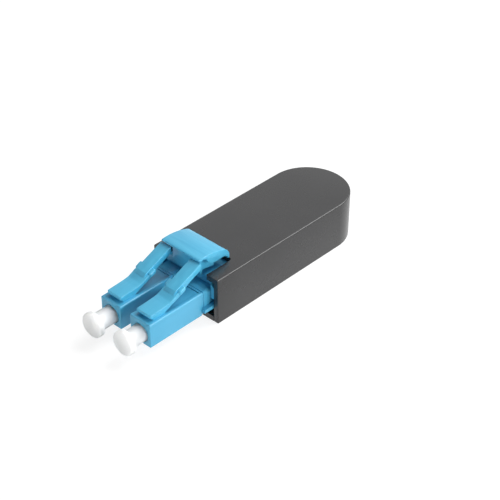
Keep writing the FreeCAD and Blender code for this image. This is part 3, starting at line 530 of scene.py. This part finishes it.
# The latches: a springy blue arm on each nose, moulded in one with it. It bends behind
# the root block, steps up between two ears that catch in the adapter, and runs on as a
# narrower tab whose bevelled tip lies under the trigger's lip.
ARM_HALF, TAB_HALF, EAR_HALF, FLEX_HALF = 1.45, 1.075, 1.65, 0.6
BLOCK_AND_ARM = ((-11.1, 5.7), (-11.1, 6.2), (-11.5, 6.2), (-11.5, 6.76), (-8.35, 6.94), (-7.4, 7.08),
                 (-6.6, 7.45), (-6.0, 7.77), (-5.3, 7.77), (-5.3, 7.23), (-8.4, 6.02), (-8.6, 5.85),
                 (-8.6, 5.7))
ARM_ROUNDS = (0.02, 0.05, 0.1, 0.12, 2.0, 1.6, 0.3, 0.1, 0.1, 0.1, 0.12, 0.1, 0.02)
TAB = ((-6.6, 7.45), (-4.75, 7.23), (-3.45, 8.02), (-0.8, 9.15), (-0.75, 10.30), (-6.05, 8.08))
TAB_ROUNDS = (0.1, 0.3, 1.5, 0.12, 0.12, 0.15)
EAR = ((-5.75, 7.20), (-4.5, 7.71), (-4.5, 8.51), (-5.75, 7.99))
blue_arm = plastic("blue_latch_plastic", (0.078, 0.46, 0.69), (0.058, 0.405, 0.635), 0.32, 7000, 0.006,
                   flow=(8, 1, 8))
for side, centre in SIDES:
    latch = make_piece(f"latch_{side}_moulding", [
        slab(softened(BLOCK_AND_ARM, ARM_ROUNDS, steps=9), centre - ARM_HALF, centre + ARM_HALF, 0.07, "yzx"),
        slab(softened(TAB, TAB_ROUNDS), centre - TAB_HALF, centre + TAB_HALF, 0.09, "yzx"),
        slab(softened(EAR, 0.3), centre - EAR_HALF, centre + EAR_HALF, 0.2, "yzx"),
    ], blue_arm, None, f"latch_arm_{side}", sharp=40)
    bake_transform(latch)


# The duplex clip: a blue frame that holds both rear bodies, with windows for them, rails
# beside them and a socket on top for the trigger's root. Its rims are softened a little.
CLIP_RIM, CLIP_WELD = 0.08, 0.002
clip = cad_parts["duplex_clip"]
clip.data.materials.clear()
# The clip takes the darkened plug blue, so part of its shade is painted.
clip.data.materials.append(blue)
joined = clip.modifiers.new("joined", "WELD")
joined.merge_threshold = CLIP_WELD / 1000
rims = clip.modifiers.new("rims", "BEVEL")
rims.width = CLIP_RIM / 1000
rims.segments = 2
rims.limit_method = "ANGLE"
rims.angle_limit = np.radians(35)


# The trigger: one blue press plate over both latch tips. A neck carries it through the
# roof's notch, and a tongue bends at the root that is caught in the clip. Its lip hangs
# over the latches, and its underside is scooped out in front and behind.
PRESS_HALF, NECK_HALF, TONGUE_HALF = 4.0, 2.9, 1.0


def bowed(start, middle, end, steps):
    """Points on the circle through three points: the centre is at one distance from all
    three, and the angle goes from the first to the last past the middle one."""
    start, middle, end = np.array([start, middle, end], float)
    rows = 2 * np.array([middle - start, end - start])
    centre = np.linalg.solve(rows, [middle @ middle - start @ start, end @ end - start @ start])
    angles = np.unwrap(np.arctan2(*(np.array([start, middle, end]) - centre).T[::-1]))
    sweep = np.linspace(angles[0], angles[2], steps)
    circle = np.stack([np.cos(sweep), np.sin(sweep)], axis=1)
    return (centre + np.linalg.norm(start - centre) * circle).tolist()


# Side outlines (y, z): the plate's back, its rear lip, the rear hollow, the step on the
# neck and the front hollow, then the neck, then the tongue with its root.
press_side = (
    [(-0.97, 10.44)]
    + bowed((-0.97, 10.80), (1.6, 10.77), (4.2, 10.10), 14)
    + bowed((4.2, 10.10), (5.1, 9.43), (5.4, 8.15), 12)[1:]
    + bowed((5.1, 8.05), (4.8, 8.60), (4.35, 8.85), 8)
    + [(2.3, 8.85)]
    + bowed((2.3, 8.85), (1.45, 9.11), (0.8, 9.57), 8)[1:]
    + bowed((0.8, 9.57), (0.35, 10.32), (-0.36, 10.44), 8)[1:]
)
neck_side = [(0.2, 9.72), (0.2, 6.6), (0.65, 6.6), (0.65, 7.763), (3.1, 7.338), (3.1, 9.21), (0.8, 9.93)]
tongue_side = (
    [(2.4, 7.46), (3.1, 7.40), (4.0, 7.24), (4.3, 6.70)]
    + bowed((4.3, 6.70), (4.7, 5.9), (5.1, 6.70), 12)[1:]
    + [(4.7, 7.88), (3.1, 8.04)]
)
blue_plate = plastic("blue_press_plate", (0.082, 0.46, 0.69), (0.052, 0.39, 0.625), 0.32, 7000, 0.006,
                     flow=(1, 9, 9))
make_piece("press_plate", [
    slab(softened(press_side, 0.13, steps=4), -PRESS_HALF, PRESS_HALF, 0.1, "yzx"),
    slab(softened(neck_side, 0.08), -NECK_HALF, NECK_HALF, 0.06, "yzx"),
    slab(softened(tongue_side, 0.05, steps=3), -TONGUE_HALF, TONGUE_HALF, 0.03, "yzx"),
], blue_plate, "trigger", "trigger")


# The dust caps: soft white plugs that hang on the ferrules. Each has a round head with
# soft rims, a neck in the nose's mouth and a blind bore. The left one sits less deep.
CAP_PROFILE = ((0, -15.95), (2.025, -15.95), (2.025, -14.85), (1.425, -14.85),
               (1.425, -10.3), (0.675, -10.3), (0.675, -14.7), (0, -14.7))
CAP_ROUNDS = (0, 0.34, 0.34, 0.15, 0.1, 0.08, 0.05, 0)
CAP_OUT = {"left": 0.35, "right": 0.0}
white = plastic("white_cap", (0.955, 0.94, 0.895), (0.94, 0.92, 0.875), 0.5, 5000, 0.004)
haze = white.node_tree.nodes["Principled BSDF"]
haze.inputs["Subsurface Weight"].default_value = 1.0
haze.inputs["Subsurface Radius"].default_value = (1, 1, 0.95)
haze.inputs["Subsurface Scale"].default_value = 0.003
for side, centre in SIDES:
    cap = softened_line(np.array(CAP_PROFILE) - [0, CAP_OUT[side]], CAP_ROUNDS, steps=8)
    make_piece(f"cap_{side}_plug", [turned(cap, centre, around=96)], white, f"cap_{side}", f"dust_cap_{side}")


# The parts inside each plug: a ground ceramic ferrule pressed into a plated sleeve, the
# spring behind it, the pressed stop ring and the rubber boot.
def metal(name, colour, roughness, streak):
    """Turned or drawn metal: fine rings round the plug's axis from a wave along y, with a
    little noise in the gloss."""
    finish = bpy.data.materials.new(name)
    finish.use_nodes = True
    nodes, links = finish.node_tree.nodes, finish.node_tree.links
    shader = nodes["Principled BSDF"]
    shader.inputs["Metallic"].default_value = 1.0
    place, rings = nodes.new("ShaderNodeTexCoord"), nodes.new("ShaderNodeTexWave")
    rings.bands_direction = "Y"
    rings.inputs["Scale"].default_value = streak
    rings.inputs["Distortion"].default_value = 1.5
    rings.inputs["Detail"].default_value = 3
    links.new(place.outputs["Object"], rings.inputs["Vector"])
    tint = nodes.new("ShaderNodeValToRGB")
    tint.color_ramp.elements[0].color = (*(0.85 * np.array(colour)), 1)
    tint.color_ramp.elements[1].color = (*colour, 1)
    links.new(rings.outputs["Fac"], tint.inputs["Fac"])
    links.new(tint.outputs["Color"], shader.inputs["Base Color"])
    gloss = nodes.new("ShaderNodeMapRange")
    gloss.inputs["To Min"].default_value = roughness
    gloss.inputs["To Max"].default_value = roughness + 0.12
    links.new(rings.outputs["Fac"], gloss.inputs["Value"])
    links.new(gloss.outputs["Result"], shader.inputs["Roughness"])
    return finish


def coil(centre, front, rear, radius, wire, turns, steps=28, around=10):
    """Round wire along a helix: the middle is at radius and angle 2 pi t, moving rearward
    evenly, and the wire's circle lies in the plane of the axis and that radius."""
    t = np.linspace(0, turns, int(turns * steps) + 1)[:, None]
    spin = np.linspace(0, 2 * np.pi, around, endpoint=False)[None]
    reach = radius + wire / 2 * np.cos(spin)
    points = np.empty((len(t), around, 3))
    points[..., 0] = centre + reach * np.cos(2 * np.pi * t)
    points[..., 1] = front + (rear - front) * t / turns + wire / 2 * np.sin(spin)
    points[..., 2] = AXIS + reach * np.sin(2 * np.pi * t)
    return skin(points)


FERRULE_RADIUS, FERRULE_TIP, FERRULE_REAR, TIP_BEVEL = 0.625, -14.3, -6.9, 0.1
SLEEVE_PROFILE = ((FERRULE_RADIUS, -8.68), (1.425, -8.68), (1.425, -7.8), (0.85, -7.8),
                  (0.85, -5.0), (0.55, -5.0), (0.55, FERRULE_REAR), (FERRULE_RADIUS, FERRULE_REAR))
RING_PROFILE = ((0.55, 4.5), (1.2, 4.5), (1.2, 6.5), (1.5, 6.5),
                (1.5, 7.1), (1.2, 7.1), (1.2, 10.0), (0.55, 10.0))
BOOT_PROFILE = ((1.22, 7.1), (1.9, 7.1), (1.9, 8.9), (1.4, 12.5), (0.55, 12.5), (0.55, 10.02), (1.22, 10.02))
COIL_FRONT, COIL_REAR, COIL_RADIUS, WIRE, TURNS = -7.62, -3.58, 1.15, 0.28, 6
ceramic = plastic("ferrule_ceramic", (0.82, 0.82, 0.80), (0.80, 0.80, 0.78), 0.16, 20000, 0.001, 0.4)
plated = metal("plated_sleeve", (0.72, 0.70, 0.66), 0.26, 900)
steel = metal("spring_wire", (0.56, 0.56, 0.57), 0.3, 1500)
rubber = plastic("boot_rubber", (0.035, 0.035, 0.037), (0.03, 0.03, 0.032), 0.62, 6000, 0.01)
for side, centre in SIDES:
    rod = [(0, FERRULE_TIP), (FERRULE_RADIUS - TIP_BEVEL, FERRULE_TIP),
           (FERRULE_RADIUS, FERRULE_TIP + TIP_BEVEL), (FERRULE_RADIUS, FERRULE_REAR), (0, FERRULE_REAR)]
    rod = softened_line(rod, [0, 0.08, 0.08, 0.03, 0], steps=5)
    make_piece(f"ferrule_rod_{side}", [turned(rod, centre)], ceramic, f"ferrule_{side}", f"ferrule_{side}")
    sleeve = turned(softened(SLEEVE_PROFILE, 0.03, steps=4), centre, "joined")
    make_piece(f"ferrule_sleeve_{side}", [sleeve], plated, f"ferrule_{side}", f"ferrule_flange_{side}")
    wire = coil(centre, COIL_FRONT, COIL_REAR, COIL_RADIUS, WIRE, TURNS)
    spring = make_piece(f"ferrule_spring_{side}", [wire], steel, "module", f"spring_{side}")
    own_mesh(spring)
    ring = turned(softened(RING_PROFILE, 0.04, steps=4), centre, "joined")
    make_piece(f"stop_ring_{side}_tube", [ring], plated, "module", f"stop_ring_{side}")
    boot = turned(softened(BOOT_PROFILE, 0.12, steps=5), centre, "joined")
    make_piece(f"boot_{side}_sleeve", [boot], rubber, "module", f"boot_{side}")


# The fibre: one yellow buffered fibre. It leaves each boot straight, sways outwards, runs
# beside the guide and goes half round the rear end.
FIBRE_RADIUS, FIBRE_START, LOOP = 0.45, -3.0, 5.2


def route(sway_angle=np.radians(30), steps=14):
    """The fibre's line (x, y, z). Each leg is straight, then turns out by 30 degrees and
    back by 30 degrees on equal arcs, then is straight again, and a half circle joins the
    two legs."""
    sway = (LOOP - PITCH_HALF) / (2 * (1 - np.cos(sway_angle)))
    sway_end = SHELL_STRAIGHT - LOOP
    sway_start = sway_end - 2 * sway * np.sin(sway_angle)
    turn = np.linspace(0, sway_angle, steps)
    out = np.stack([PITCH_HALF + sway * (1 - np.cos(turn)), sway_start + sway * np.sin(turn)], axis=1)
    home = np.stack([LOOP - sway * (1 - np.cos(turn[::-1])), sway_end - sway * np.sin(turn[::-1])], axis=1)
    bend = np.linspace(0, np.pi, 4 * steps)
    half_turn = np.stack([LOOP * np.cos(bend), SHELL_STRAIGHT + LOOP * np.sin(bend)], axis=1)
    leg = np.concatenate([[(PITCH_HALF, FIBRE_START)], out, home[1:]])
    flat = np.concatenate([leg, half_turn, (leg * [-1, 1])[::-1]])
    return np.column_stack([flat, np.full(len(flat), AXIS)])


def tube(path, radius, around=16):
    """A circle carried along a level line: at each point it stands in the plane of the
    line's own sideways direction and the vertical."""
    step = np.gradient(path, axis=0)
    step /= np.linalg.norm(step, axis=1)[:, None]
    sideways = np.stack([step[:, 1], -step[:, 0], np.zeros(len(path))], axis=1)
    spin = np.linspace(0, 2 * np.pi, around, endpoint=False)[None, :, None]
    circle = np.cos(spin) * sideways[:, None] + np.sin(spin) * np.array([0, 0, 1.0])
    return skin(path[:, None] + radius * circle)


buffer = plastic("fibre_buffer", (0.80, 0.58, 0.06), (0.78, 0.55, 0.05), 0.4, 8000, 0.004)
make_piece("fibre", [tube(route(), FIBRE_RADIUS)], buffer, "module", "fibre_loop")
